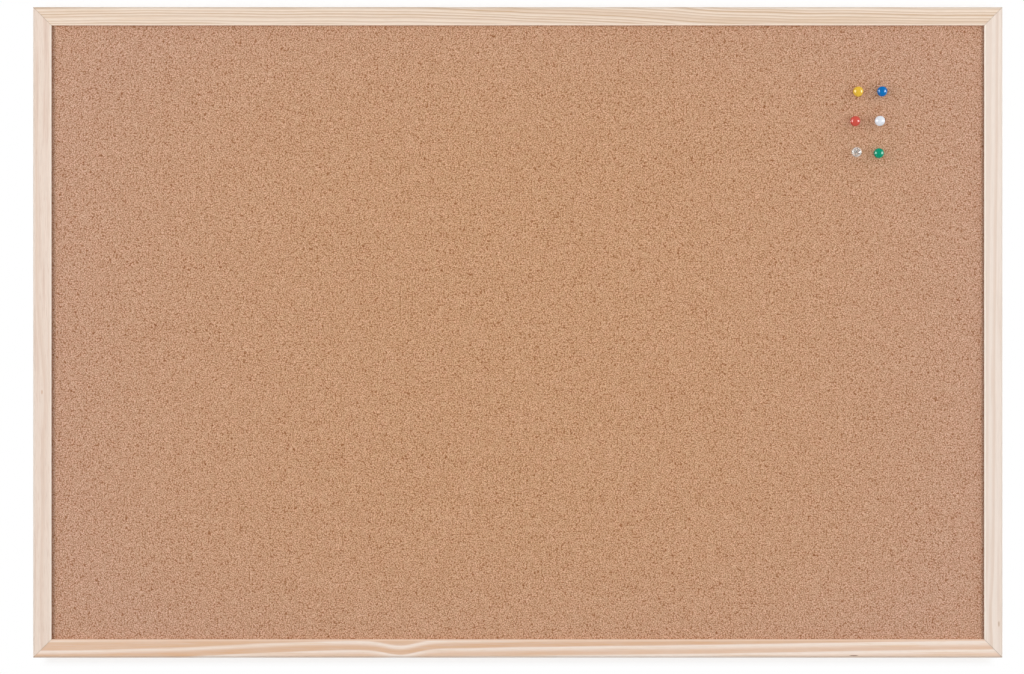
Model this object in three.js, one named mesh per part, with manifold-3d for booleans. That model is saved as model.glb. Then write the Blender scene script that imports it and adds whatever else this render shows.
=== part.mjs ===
// Framed cork pin board with six push pins, in millimetres.
// +X runs to the right as seen from the front, +Z is up and the board faces -Y.
// The origin is the board's centre, on the plane of the frame's back.
import * as THREE from "three";
import { mergeVertices } from "three/addons/utils/BufferGeometryUtils.js";
import Module from "manifold-3d";

// Board and panel
const boardWidth = 900;
const boardHeight = 604;
const corkThickness = 1.5;
const coreThickness = 6.75;
const backingThickness = 0.75;
const panelEdgeClearance = 1;

// Frame moulding: face across the front, depth from front to back
const frameFace = 17;
const frameDepth = 16;
const grooveDepth = 7;
const frontLip = 3.5;
const outerEdgeRadius = 2.2;
const innerEdgeRadius = 0.9;
const backEdgeRadius = 0.6;
const mitreGlueLine = 0.15;

// Corner staples, driven flush across each mitre from behind
const stapleCrown = 8.6;
const stapleLeg = 9.5;
const stapleWireThickness = 0.7;
const stapleWireWidth = 1.2;
const stapleBendRadius = 0.9;
const staplePointRise = 0.8;
const stapleSink = 0.1;
const stapleClearance = 0.15;
const firstStapleInset = 5.5;
const staplePitch = 5.5;
const staplesPerCorner = 2;

// Hangers: a folded strap whose rolled eye holds a wire D-ring
const hangerDrop = 75;
const hangerInset = 7.4;
const strapThickness = 0.8;
const strapWidth = 8.4;
const strapLength = 19;
const strapCornerRadius = 3.2;
const strapSeam = 0.1;
const strapNeckRadius = 1.2;
const ringWireRadius = 0.9;
const ringInnerWidth = 9.6;
const ringInnerHeight = 7.5;
const ringCornerRadius = 1.5;
const ringButtGap = 0.4;
const eyeClearance = 0.1;

// Hanger screws
const screwRadius = 1.4;
const screwLength = 11;
const screwPoint = 2.4;
const screwHeadRadius = 2.7;
const screwHeadHeight = 1.7;
const screwHeadRim = 0.5;
const screwHoleClearance = 0.15;
const screwHeadMargin = 1;
const screwsPerStrap = 2;
const recessSpan = 2.8;
const recessWidth = 0.7;
const recessDepth = 1;

// Push pins: a waisted plastic head moulded on a steel needle
const pinHeight = 12.5;
const pinTopRadius = 4.3;
const pinTopThickness = 2.7;
const pinTopDome = 0.9;
const pinTopEdge = 1;
const pinNeckRadius = 2.8;
const pinNeckDrop = 1.1;
const pinWaistRadius = 2.25;
const pinFootRadius = 3.1;
const pinFootRise = 1.3;
const pinFlangeRadius = 4.65;
const pinFlangeThickness = 1.2;
const pinFlangeRound = 0.5;
const pinCorkGap = 0.25;
const needleRadius = 0.55;
const needleExposed = 8;
const needleSeated = 7;
const needlePoint = 2.2;
const needleHoleClearance = 0.1;

// Where the pins stand: the grid's inset from the frame's inner corner, and its pitch
const pinGridRightInset = 96.5;
const pinGridTopInset = 61.4;
const pinColumnPitch = 22.3;
const pinRowPitch = 28.4;

// Column and row of each pin, in shares of the pitches, counted from the upper left pin
const pinPlaceShares = {
  yellow: [0.08, 0],
  blue: [1.08, -0.005],
  red: [-0.04, 0.967],
  white: [0.985, 0.96],
  clear: [0.01, 1.982],
  green: [0.94, 2.015],
};

// One overrun serves every cut that passes through a face
const cutOverrun = 2;

// Roundness of the faceted solids
const edgeSegments = 3;
const eyeSegments = 7;
const pinSegments = 20;
const screwSegments = 14;
const ringSides = 10;
const ringSteps = 48;

const panelThickness = corkThickness + coreThickness + backingThickness;
const backLip = frameDepth - frontLip - panelThickness;
const backingFront = backLip + backingThickness;
const coreFront = backingFront + coreThickness;
const corkFront = coreFront + corkThickness;
const eyeInnerRadius = ringWireRadius + eyeClearance;
const eyeOuterRadius = eyeInnerRadius + strapThickness;
const eyeHeight = eyeOuterRadius;
const strapTop = 2 * strapThickness + strapSeam;
const strapBendRadius = eyeInnerRadius + strapThickness / 2;
const strapNeckHeight = strapTop - strapThickness / 2 + strapNeckRadius;
const strapNeckRise = strapNeckHeight - eyeHeight;
const strapNeckX = -Math.sqrt((strapBendRadius + strapNeckRadius) ** 2 - strapNeckRise ** 2);
const quarterTurn = Math.PI / 2;

const materials = {
  pine: finish(0xe8d3bd, 0.55, 0),
  cork: finish(0xc39676, 0.95, 0),
  softboard: finish(0xb49a7a, 0.95, 0),
  hardboard: finish(0x8a6647, 0.8, 0),
  stapleSteel: finish(0xb9b9b4, 0.35, 1),
  zincSteel: finish(0xc3c4c2, 0.3, 1),
  needleSteel: finish(0xc9cacb, 0.2, 1),
  yellow: finish(0xebbe3c, 0.25, 0),
  blue: finish(0x006eb9, 0.25, 0),
  red: finish(0xd7463c, 0.25, 0),
  white: finish(0xeef1f2, 0.25, 0),
  clear: finish(0xe6e8e6, 0.1, 0),
  green: finish(0x00966e, 0.25, 0),
};

const wasm = await Module();
wasm.setup();

function finish(color, roughness, metalness) {
  return new THREE.MeshStandardMaterial({ color, roughness, metalness });
}

// Solid modelling: closed geometries joined and cut as solids

function toSolid(geometry) {
  const bare = geometry.clone();
  bare.deleteAttribute("normal");
  bare.deleteAttribute("uv");
  const merged = mergeVertices(bare);
  return new wasm.Manifold(
    new wasm.Mesh({
      numProp: 3,
      vertProperties: merged.attributes.position.array,
      triVerts: new Uint32Array(merged.index.array),
    }),
  );
}

function toGeometry(solid) {
  const mesh = solid.getMesh();
  const geometry = new THREE.BufferGeometry();
  geometry.setAttribute("position", new THREE.BufferAttribute(mesh.vertProperties, 3));
  geometry.setIndex(new THREE.BufferAttribute(mesh.triVerts, 1));
  geometry.computeVertexNormals();
  return geometry;
}

function cutGeometry(geometry, cutters) {
  const left = cutters.reduce((solid, cutter) => solid.subtract(toSolid(cutter)), toSolid(geometry));
  return toGeometry(left);
}

function sharedGeometry(geometry, other) {
  return toGeometry(toSolid(geometry).intersect(toSolid(other)));
}

// Cuts a placed mesh with cutters that are placed in the board's frame
function carve(mesh, cutters) {
  mesh.updateWorldMatrix(true, false);
  const toMesh = mesh.matrixWorld.clone().invert();
  const local = cutters.map((cutter) => {
    cutter.updateWorldMatrix(true, false);
    return cutter.geometry.clone().applyMatrix4(cutter.matrixWorld).applyMatrix4(toMesh);
  });
  mesh.geometry = cutGeometry(mesh.geometry, local);
}

function piece(name, geometry, material) {
  const mesh = new THREE.Mesh(geometry, material.clone());
  mesh.name = name;
  return mesh;
}

function revolve(path, segments, divisions) {
  return new THREE.LatheGeometry(path.getPoints(divisions), segments);
}

function roundCorner(outline, centreX, centreY, radius, quarter) {
  const start = (quarter - 1) * quarterTurn;
  outline.absarc(centreX, centreY, radius, start, start + quarterTurn, false);
}

// Frame moulding: x in from the outer edge, y forward from the back

function mouldingProfile() {
  const profile = new THREE.Shape();
  profile.moveTo(backEdgeRadius, 0);
  roundCorner(profile, frameFace - backEdgeRadius, backEdgeRadius, backEdgeRadius, 0);
  profile.lineTo(frameFace, backLip);
  profile.lineTo(frameFace - grooveDepth, backLip);
  profile.lineTo(frameFace - grooveDepth, corkFront);
  profile.lineTo(frameFace, corkFront);
  roundCorner(profile, frameFace - innerEdgeRadius, frameDepth - innerEdgeRadius, innerEdgeRadius, 1);
  roundCorner(profile, outerEdgeRadius, frameDepth - outerEdgeRadius, outerEdgeRadius, 2);
  roundCorner(profile, backEdgeRadius, backEdgeRadius, backEdgeRadius, 3);
  return profile;
}

// A member lies along X with its outer edge at z = 0, both ends mitred at 45 degrees
function memberGeometry(length) {
  const geometry = new THREE.ExtrudeGeometry(mouldingProfile(), {
    depth: 1,
    bevelEnabled: false,
    curveSegments: edgeSegments,
  });
  const points = geometry.attributes.position;
  const halfLength = (length - mitreGlueLine * Math.SQRT2) / 2;
  for (let i = 0; i < points.count; i += 1) {
    const inward = points.getX(i);
    const forward = points.getY(i);
    const side = 1 - 2 * points.getZ(i);
    points.setXYZ(i, side * (halfLength - inward), -forward, -inward);
  }
  return geometry;
}

function frameMember(name, length, quarters, offsetX, offsetZ) {
  const member = piece(name, memberGeometry(length), materials.pine);
  member.rotation.y = quarters * quarterTurn;
  member.position.set(offsetX, 0, offsetZ);
  return member;
}

// Panel layers

function panelLayer(name, thickness, front, material) {
  const margin = frameFace - grooveDepth + panelEdgeClearance;
  const width = boardWidth - 2 * margin;
  const height = boardHeight - 2 * margin;
  const layer = piece(name, new THREE.BoxGeometry(width, thickness, height), material);
  layer.position.y = thickness / 2 - front;
  return layer;
}

// Corner staples: crown along x, legs down the negative y side

function stapleGeometry(clearance, crownTop) {
  const outer = stapleCrown / 2 + clearance;
  const inner = stapleCrown / 2 - stapleWireThickness - clearance;
  const crownUnder = -stapleSink - stapleWireThickness - clearance;
  const point = -stapleSink - stapleLeg - clearance;
  const bend = stapleBendRadius;
  const outline = new THREE.Shape();
  outline.moveTo(-outer, point);
  outline.lineTo(-inner, point + staplePointRise);
  outline.lineTo(-inner, crownUnder);
  outline.lineTo(inner, crownUnder);
  outline.lineTo(inner, point + staplePointRise);
  outline.lineTo(outer, point);
  roundCorner(outline, outer - bend, crownTop - bend, bend, 1);
  roundCorner(outline, bend - outer, crownTop - bend, bend, 2);
  const width = stapleWireWidth + 2 * clearance;
  const geometry = new THREE.ExtrudeGeometry(outline, {
    depth: width,
    bevelEnabled: false,
    curveSegments: edgeSegments,
  });
  return geometry.translate(0, 0, -width / 2);
}

function placeAtCorner(mesh, sideX, sideZ, index) {
  const inset = firstStapleInset + index * staplePitch;
  mesh.position.set(sideX * (boardWidth / 2 - inset), 0, sideZ * (boardHeight / 2 - inset));
  mesh.rotation.y = (sideX * sideZ * quarterTurn) / 2;
  return mesh;
}

// Hanger strap: x along the strap towards the eye, y out of the back, z across

function strapProfile() {
  const meet = Math.atan2(strapNeckRise, strapNeckX);
  const down = -quarterTurn;
  const innerNeck = strapNeckRadius + strapThickness / 2;
  const outerNeck = strapNeckRadius - strapThickness / 2;
  const profile = new THREE.Shape();
  profile.moveTo(-strapLength, 0);
  profile.lineTo(0, 0);
  profile.absarc(0, eyeHeight, eyeOuterRadius, down, meet, false);
  profile.absarc(strapNeckX, strapNeckHeight, outerNeck, meet - Math.PI, down, true);
  profile.lineTo(-strapLength, strapTop);
  profile.lineTo(-strapLength, strapTop - strapThickness);
  profile.absarc(strapNeckX, strapNeckHeight, innerNeck, down, meet - Math.PI, false);
  profile.absarc(0, eyeHeight, eyeInnerRadius, meet, down, true);
  profile.lineTo(-strapLength, strapThickness);
  return profile;
}

function strapPlan() {
  const half = strapWidth / 2;
  const end = -strapLength + strapCornerRadius;
  const side = half - strapCornerRadius;
  const plan = new THREE.Shape();
  plan.moveTo(eyeOuterRadius + cutOverrun, half);
  plan.lineTo(end, half);
  roundCorner(plan, end, side, strapCornerRadius, 2);
  roundCorner(plan, end, -side, strapCornerRadius, 3);
  plan.lineTo(eyeOuterRadius + cutOverrun, -half);
  return plan;
}

function strapGeometry() {
  const folded = new THREE.ExtrudeGeometry(strapProfile(), {
    depth: strapWidth,
    bevelEnabled: false,
    curveSegments: eyeSegments,
  });
  folded.translate(0, 0, -strapWidth / 2);
  const reach = 2 * eyeOuterRadius + 2 * cutOverrun;
  const plan = new THREE.ExtrudeGeometry(strapPlan(), {
    depth: reach,
    bevelEnabled: false,
    curveSegments: edgeSegments,
  });
  plan.rotateX(-quarterTurn).translate(0, -cutOverrun, 0);
  const holeRadius = screwRadius + screwHoleClearance;
  const holes = screwOffsets().map((offset) => {
    const hole = new THREE.CylinderGeometry(holeRadius, holeRadius, reach, screwSegments);
    return hole.translate(-offset, 0, 0);
  });
  return cutGeometry(sharedGeometry(folded, plan), holes);
}

// Distances below the eye: the heads spread over the flat between the neck and the strap's end
function screwOffsets() {
  const margin = screwHeadRadius + screwHeadMargin;
  const first = margin - strapNeckX;
  const pitch = (strapLength - margin - first) / (screwsPerStrap - 1);
  return Array.from({ length: screwsPerStrap }, (_, i) => first + i * pitch);
}

// Pan head screw: head on top of the strap, point down the negative y side

function screwGeometry() {
  const outline = new THREE.Path();
  outline.moveTo(0, -screwLength);
  outline.lineTo(screwRadius, screwPoint - screwLength);
  outline.lineTo(screwRadius, 0);
  outline.lineTo(screwHeadRadius, 0);
  outline.lineTo(screwHeadRadius, screwHeadRim);
  outline.quadraticCurveTo(screwHeadRadius, screwHeadHeight, 0, screwHeadHeight);
  const body = revolve(outline, screwSegments, edgeSegments);
  const slot = new THREE.BoxGeometry(recessSpan, 2 * recessDepth, recessWidth);
  slot.translate(0, screwHeadHeight, 0);
  return cutGeometry(body, [slot, slot.clone().rotateY(quarterTurn)]);
}

function pilotGeometry() {
  const radius = screwRadius + screwHoleClearance;
  const end = -screwLength - screwHoleClearance;
  const outline = new THREE.Path();
  outline.moveTo(0, end);
  outline.lineTo(radius, end + screwPoint);
  outline.lineTo(radius, cutOverrun);
  outline.lineTo(0, cutOverrun);
  return revolve(outline, screwSegments, 1);
}

// D-ring: one bent wire whose ends butt inside the strap's eye

class PlanarCurve extends THREE.Curve {
  constructor(path) {
    super();
    this.path = path;
  }

  getPoint(share, target = new THREE.Vector3()) {
    const flat = this.path.getPoint(share);
    return target.set(flat.x, flat.y, 0);
  }
}

function ringGeometry() {
  const half = ringInnerWidth / 2 + ringWireRadius;
  const corner = ringCornerRadius;
  const bowHeight = ringInnerHeight + 2 * ringWireRadius - half;
  const bend = new THREE.Path();
  bend.moveTo(ringButtGap / 2, 0);
  bend.lineTo(half - corner, 0);
  roundCorner(bend, half - corner, corner, corner, 0);
  bend.absarc(0, bowHeight, half, 0, Math.PI, false);
  roundCorner(bend, corner - half, corner, corner, 3);
  bend.lineTo(-ringButtGap / 2, 0);
  const section = new THREE.Shape();
  section.absarc(0, 0, ringWireRadius, 0, 2 * Math.PI, false);
  return new THREE.ExtrudeGeometry(section, {
    steps: ringSteps,
    curveSegments: ringSides / 2,
    extrudePath: new PlanarCurve(bend),
  });
}

function hanger(side) {
  const name = side < 0 ? "left" : "right";
  const group = new THREE.Group();
  group.position.set(side * (boardWidth / 2 - hangerInset), 0, boardHeight / 2 - hangerDrop);
  const strap = piece("hanger_strap_" + name, strapGeometry(), materials.zincSteel);
  strap.rotation.y = -quarterTurn;
  const ring = piece("hanger_ring_" + name, ringGeometry(), materials.zincSteel);
  ring.rotation.x = quarterTurn;
  ring.position.y = eyeHeight;
  group.add(strap, ring);
  screwOffsets().forEach((offset, i) => {
    const screwName = "hanger_screw_" + name + "_" + (i + 1);
    const screw = piece(screwName, screwGeometry(), materials.zincSteel);
    screw.position.set(0, strapTop, -offset);
    group.add(screw);
  });
  return group;
}

// Push pins: y towards the board, the flange's underside at y = 0

function pinHeadGeometry() {
  const domeRadius = pinTopRadius - pinTopEdge;
  const shoulder = pinTopDome - pinHeight;
  const rim = shoulder + (2 * pinTopDome * pinTopEdge) / domeRadius;
  const topUnder = pinTopThickness - pinHeight;
  const neck = topUnder + pinNeckDrop;
  const foot = -pinFlangeThickness - pinFootRise;
  const outline = new THREE.Path();
  outline.moveTo(0, -pinHeight);
  outline.quadraticCurveTo(domeRadius / 2, -pinHeight, domeRadius, shoulder);
  outline.quadraticCurveTo(pinTopRadius, rim, pinTopRadius, rim + pinTopEdge / 2);
  outline.lineTo(pinTopRadius, topUnder - pinTopEdge / 2);
  outline.quadraticCurveTo(pinTopRadius, topUnder, pinTopRadius - pinTopEdge / 2, topUnder);
  outline.quadraticCurveTo(pinNeckRadius, topUnder, pinNeckRadius, neck);
  outline.quadraticCurveTo(2 * pinWaistRadius - pinFootRadius, (neck + foot) / 2, pinFootRadius, foot);
  outline.quadraticCurveTo(
    pinFootRadius,
    -pinFlangeThickness,
    pinFlangeRadius - pinFlangeRound,
    -pinFlangeThickness,
  );
  outline.quadraticCurveTo(
    pinFlangeRadius,
    -pinFlangeThickness,
    pinFlangeRadius,
    pinFlangeRound - pinFlangeThickness,
  );
  outline.lineTo(pinFlangeRadius, 0);
  outline.lineTo(needleRadius, 0);
  outline.lineTo(needleRadius, -needleSeated);
  outline.lineTo(0, -needleSeated);
  return revolve(outline, pinSegments, edgeSegments);
}

function needleGeometry(start, clearance) {
  const radius = needleRadius + clearance;
  const point = needleExposed + clearance;
  const outline = new THREE.Path();
  outline.moveTo(0, start);
  outline.lineTo(radius, start);
  outline.lineTo(radius, point - needlePoint);
  outline.lineTo(0, point);
  return revolve(outline, pinSegments, 1);
}

function placePin(object, colour) {
  const [column, row] = pinPlaceShares[colour];
  const left = boardWidth / 2 - frameFace - pinGridRightInset - pinColumnPitch;
  const top = boardHeight / 2 - frameFace - pinGridTopInset;
  object.position.set(
    left + column * pinColumnPitch,
    -corkFront - pinCorkGap,
    top - row * pinRowPitch,
  );
  return object;
}

function pushPin(colour) {
  const group = placePin(new THREE.Group(), colour);
  group.add(
    piece("pin_head_" + colour, pinHeadGeometry(), materials[colour]),
    piece("pin_needle_" + colour, needleGeometry(-needleSeated, 0), materials.needleSteel),
  );
  return group;
}

// Assembly

const corkBoard = new THREE.Group();

const members = [
  frameMember("frame_rail_top", boardWidth, 0, 0, boardHeight / 2),
  frameMember("frame_stile_right", boardHeight, 1, boardWidth / 2, 0),
  frameMember("frame_rail_bottom", boardWidth, 2, 0, -boardHeight / 2),
  frameMember("frame_stile_left", boardHeight, -1, -boardWidth / 2, 0),
];
const cork = panelLayer("cork_sheet", corkThickness, corkFront, materials.cork);
const core = panelLayer("core_board", coreThickness, coreFront, materials.softboard);
const backing = panelLayer("backing_sheet", backingThickness, backingFront, materials.hardboard);
corkBoard.add(...members, cork, core, backing);

const stapleSlots = [];
for (const [cornerName, sideX, sideZ] of [
  ["top_left", -1, 1],
  ["top_right", 1, 1],
  ["bottom_left", -1, -1],
  ["bottom_right", 1, -1],
]) {
  for (let i = 0; i < staplesPerCorner; i += 1) {
    const name = "corner_staple_" + cornerName + "_" + (i + 1);
    const staple = piece(name, stapleGeometry(0, -stapleSink), materials.stapleSteel);
    const slot = new THREE.Mesh(stapleGeometry(stapleClearance, cutOverrun));
    corkBoard.add(placeAtCorner(staple, sideX, sideZ, i));
    stapleSlots.push(placeAtCorner(slot, sideX, sideZ, i));
  }
}

const pilots = [];
for (const side of [-1, 1]) {
  const group = hanger(side);
  corkBoard.add(group);
  for (const offset of screwOffsets()) {
    const pilot = new THREE.Mesh(pilotGeometry());
    pilot.position.set(group.position.x, strapTop, group.position.z - offset);
    pilots.push(pilot);
  }
}

for (const member of members) {
  carve(member, [...stapleSlots, ...pilots]);
}

const needleHoles = [];
for (const colour of Object.keys(pinPlaceShares)) {
  corkBoard.add(pushPin(colour));
  const start = -pinCorkGap - cutOverrun;
  const hole = new THREE.Mesh(needleGeometry(start, needleHoleClearance));
  needleHoles.push(placePin(hole, colour));
}
carve(cork, needleHoles);
carve(core, needleHoles);

export default corkBoard;
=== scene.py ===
import math

import bmesh
import bpy
from mathutils import Matrix, Vector


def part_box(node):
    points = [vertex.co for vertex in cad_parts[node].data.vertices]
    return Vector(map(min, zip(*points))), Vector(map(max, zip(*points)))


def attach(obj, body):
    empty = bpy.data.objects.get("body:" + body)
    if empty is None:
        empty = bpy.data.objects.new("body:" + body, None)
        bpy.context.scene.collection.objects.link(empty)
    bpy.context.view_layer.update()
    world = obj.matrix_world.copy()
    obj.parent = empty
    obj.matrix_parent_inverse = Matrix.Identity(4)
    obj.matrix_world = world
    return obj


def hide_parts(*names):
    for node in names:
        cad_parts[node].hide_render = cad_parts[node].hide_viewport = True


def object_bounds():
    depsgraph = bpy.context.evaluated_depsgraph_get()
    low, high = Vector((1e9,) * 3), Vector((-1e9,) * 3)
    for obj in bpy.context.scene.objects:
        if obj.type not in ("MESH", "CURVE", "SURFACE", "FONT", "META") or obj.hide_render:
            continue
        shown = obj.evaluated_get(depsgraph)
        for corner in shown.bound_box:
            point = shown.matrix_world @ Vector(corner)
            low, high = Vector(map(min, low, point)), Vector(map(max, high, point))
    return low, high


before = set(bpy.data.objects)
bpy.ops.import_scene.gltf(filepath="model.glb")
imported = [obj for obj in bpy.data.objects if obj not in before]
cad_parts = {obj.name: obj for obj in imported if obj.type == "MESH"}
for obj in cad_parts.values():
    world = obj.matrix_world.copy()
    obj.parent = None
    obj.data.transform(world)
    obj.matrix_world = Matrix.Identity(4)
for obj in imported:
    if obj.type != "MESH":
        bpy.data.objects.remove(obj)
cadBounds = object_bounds()


def newObject(name, data):
    made = bpy.data.objects.new(name, data)
    bpy.context.scene.collection.objects.link(made)
    return made


# Camera, square on to the board as in the photograph

photoView = {
    "place": (-0.0054, -6.0, -0.0043),  # metres, a long way off, so the pins show no slant
    "lens": 226.65,
    "sensor": 36.0,
    "nearest": 0.05,
    "farthest": 50.0,
}

cameraData = bpy.data.cameras.new("photoCamera")
cameraData.lens = photoView["lens"]
cameraData.sensor_width = photoView["sensor"]
cameraData.clip_start = photoView["nearest"]
cameraData.clip_end = photoView["farthest"]
camera = newObject("photoCamera", cameraData)
camera.location = photoView["place"]
camera.rotation_euler = (math.radians(90), 0, 0)
bpy.context.scene.camera = camera
bpy.context.scene.view_settings.view_transform = "Standard"
print("camera set")


# Small helpers for shader trees


def tone(red, green, blue):
    # a colour as it is seen on screen, 0 to 255, made linear
    made = []
    for value in (red, green, blue):
        share = value / 255
        made.append(share / 12.92 if share <= 0.04045 else ((share + 0.055) / 1.055) ** 2.4)
    return (*made, 1.0)


def feed(socket, value):
    # a plain value is typed into the socket, anything else is wired to it
    if isinstance(value, bpy.types.NodeSocket):
        socket.id_data.links.new(value, socket)
    else:
        socket.default_value = value


def newNode(kind, *values, slots=range(5), **settings):
    # stands in the tree of the first value that is a socket; the values feed the counted or named inputs
    tree = next(value.id_data for value in values if isinstance(value, bpy.types.NodeSocket))
    made = tree.nodes.new("ShaderNode" + kind)
    for name, value in settings.items():
        setattr(made, name, value)
    for slot, value in zip(slots, values):
        feed(made.inputs[slot], value)
    return made


def calc(operation, *values, clamp=False):
    return newNode("Math", *values, operation=operation, use_clamp=clamp).outputs[0]


def plus(first, second, clamp=False):
    return calc("ADD", first, second, clamp=clamp)


def minus(first, second):
    return calc("SUBTRACT", first, second)


def times(first, second, clamp=False):
    return calc("MULTIPLY", first, second, clamp=clamp)


def over(first, second):
    return calc("DIVIDE", first, second)


def timesPlus(first, second, third):
    return calc("MULTIPLY_ADD", first, second, third)


def swing(mask, amount, middle=0.5):
    # how far a mask is from its middle, times an amount
    return times(minus(mask, middle), amount)


def vectorCalc(operation, vector, other, slots=(0, 1)):
    return newNode("VectorMath", vector, other, slots=slots, operation=operation).outputs[0]


def noiseAt(vector, scale, detail=2.0, roughness=0.5):
    slots = ("Vector", "Scale", "Detail", "Roughness")
    return newNode("TexNoise", vector, scale, detail, roughness, slots=slots).outputs


def streaked(vector, stretch, detail, roughness=0.5):
    # noise drawn out along the axes in which its stretch is small
    return noiseAt(vectorCalc("MULTIPLY", vector, stretch), 1.0, detail, roughness)["Fac"]


def remap(value, low, high, newLow=0.0, newHigh=1.0, smooth=True):
    curve = "SMOOTHSTEP" if smooth else "LINEAR"
    return newNode("MapRange", value, low, high, newLow, newHigh, interpolation_type=curve).outputs["Result"]


def mixed(share, first, second, mode="MIX"):
    # the mix node keeps its colours in the sockets 6 and 7, and its mixed colour in 2
    made = newNode("Mix", share, first, second, slots=(0, 6, 7), data_type="RGBA", blend_type=mode)
    return made.outputs[2]


def shaded(colour, lightness):
    grey = newNode("CombineColor", lightness, lightness, lightness)
    return mixed(1.0, colour, grey.outputs[0], "MULTIPLY")


def ramp(value, stops):
    made = newNode("ValToRGB", value)
    elements = made.color_ramp.elements
    while len(elements) < len(stops):
        elements.new(0.5)
    for element, (place, colour) in zip(elements, stops):
        element.position = place
        element.color = colour
    return made.outputs["Color"]


def split(value, kind="XYZ"):
    # the three parts of a vector, or of a colour with kind Color
    return newNode("Separate" + kind, value).outputs


def shaderBlend(share, first, second):
    return newNode("MixShader", share, first, second).outputs[0]


def spread(tree):
    # nodes stand in columns by how far they are from the output
    depth = {node: 0 for node in tree.nodes}
    changed = True
    while changed:
        changed = False
        for link in tree.links:
            wanted = depth[link.to_node] + 1
            if depth[link.from_node] < wanted:
                depth[link.from_node] = wanted
                changed = True
    used = {}
    for node in tree.nodes:
        column = depth[node]
        used[column] = used.get(column, 0) + 1
        node.location = (-240 * column, -220 * used[column])


def newGroup(name, values, colours, vectors=("Vector",)):
    # a surface group: named inputs, and out of it a colour, a height for the bump and a roughness
    tree = bpy.data.node_groups.new(name, "ShaderNodeTree")
    for kind, names in (("Vector", vectors), ("Float", values), ("Color", colours)):
        for socketName in names:
            tree.interface.new_socket(name=socketName, in_out="INPUT", socket_type="NodeSocket" + kind)
    for socketName, kind in (("Color", "Color"), ("Height", "Float"), ("Roughness", "Float")):
        tree.interface.new_socket(name=socketName, in_out="OUTPUT", socket_type="NodeSocket" + kind)
    return tree, tree.nodes.new("NodeGroupInput").outputs


def deliver(tree, colour, height, roughness):
    results = tree.nodes.new("NodeGroupOutput").inputs
    for name, value in (("Color", colour), ("Height", height), ("Roughness", roughness)):
        feed(results[name], value)
    spread(tree)


def newMaterial(name):
    material = bpy.data.materials.new(name)
    material.use_nodes = True
    tree = material.node_tree
    place = tree.nodes.new("ShaderNodeTexCoord").outputs["Object"]
    return material, tree, tree.nodes["Principled BSDF"], place


def bumped(height, distance, strength=1.0):
    slots = ("Height", "Distance", "Strength")
    return newNode("Bump", height, distance, strength, slots=slots).outputs["Normal"]


def wear(shader, colour, roughness, normal):
    for name, value in (("Base Color", colour), ("Roughness", roughness), ("Normal", normal)):
        feed(shader.inputs[name], value)


def skinned(name, group, settings):
    # settings with a capital go to the group's sockets, their colours as seen on screen
    material, tree, shader, place = newMaterial(name)
    made = tree.nodes.new("ShaderNodeGroup")
    made.node_tree = group
    feed(made.inputs["Vector"], place)
    for key, value in settings.items():
        if key[0].isupper():
            feed(made.inputs[key], tone(*value) if key.endswith("Color") else value)
    normal = bumped(made.outputs["Height"], settings["bump"])
    wear(shader, made.outputs["Color"], made.outputs["Roughness"], normal)
    for key, value in settings["shader"].items():
        shader.inputs[key].default_value = value
    spread(tree)
    return material


# Room: white surroundings, soft lamps on both sides, and a pale wall and floor

room = {
    "ambient": 0.52,  # what the white surroundings give to matte surfaces
    "dimFront": 0.03,  # what gloss sees of the dark end of the room, behind the camera
    "dimRange": (-0.5, -0.05),  # where that end begins, as the forward part of a direction
    "keyPlace": {"Left": (-1.65, -1.6, 0.2), "Right": (1.77, -1.65, 0.22)},  # metres from the board's centre
    "keySize": {"Left": (0.9, 1.1), "Right": (0.7, 0.9)},
    "keyPower": {"Left": 47.0, "Right": 30.0},
    "sheetPlace": {"Left": (-2.2, -1.6, 0.5), "Right": (2.2, -1.6, 0.5)},
    "sheetSize": dict.fromkeys(("Left", "Right"), (2.4, 3.6)),
    "sheetPower": {"Left": 38.0, "Right": 41.0},
    "backPlace": {"Left": (-1.7, 1.9, 0.5), "Right": (1.7, 1.9, 0.5)},
    "backSize": dict.fromkeys(("Left", "Right"), (1.1, 2.0)),
    "backPower": dict.fromkeys(("Left", "Right"), 23.0),
    "wallGap": 0.0006,  # behind the D-rings
    "wallHalf": (0.95, 0.75),  # half its width and height
    "wallPlain": ((0.434, 0.446), (0.3045, 0.3125)),  # where it turns plain white, sideways and upwards
    "wallGlow": 0.637,
    "wallCatch": 0.4,
    "speckleRate": 900.0,
    "speckleDepth": 0.985,
    "floorDrop": 1.15,  # below the board's centre
    "floorHalf": (2.5, 2.5),
    "floorPlain": ((1.75, 2.425), (1.75, 2.425)),
}


def softbox(kind, side, forMatte, forGloss):
    data = bpy.data.lights.new(kind + side, "AREA")
    data.shape = "RECTANGLE"
    data.size, data.size_y = room[kind + "Size"][side]
    data.energy = room[kind + "Power"][side]
    lamp = newObject(kind + side, data)
    lamp.location = room[kind + "Place"][side]
    lamp.rotation_euler = (-lamp.location).to_track_quat("-Z", "Y").to_euler()
    lamp.visible_camera = False
    lamp.visible_diffuse = forMatte
    lamp.visible_glossy = forGloss
    lamp.visible_transmission = forGloss


for side in ("Left", "Right"):
    softbox("key", side, False, True)  # the small bright boxes that gloss shows
    softbox("sheet", side, True, False)  # tall lit sheets give the even light
    softbox("back", side, True, True)

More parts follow.
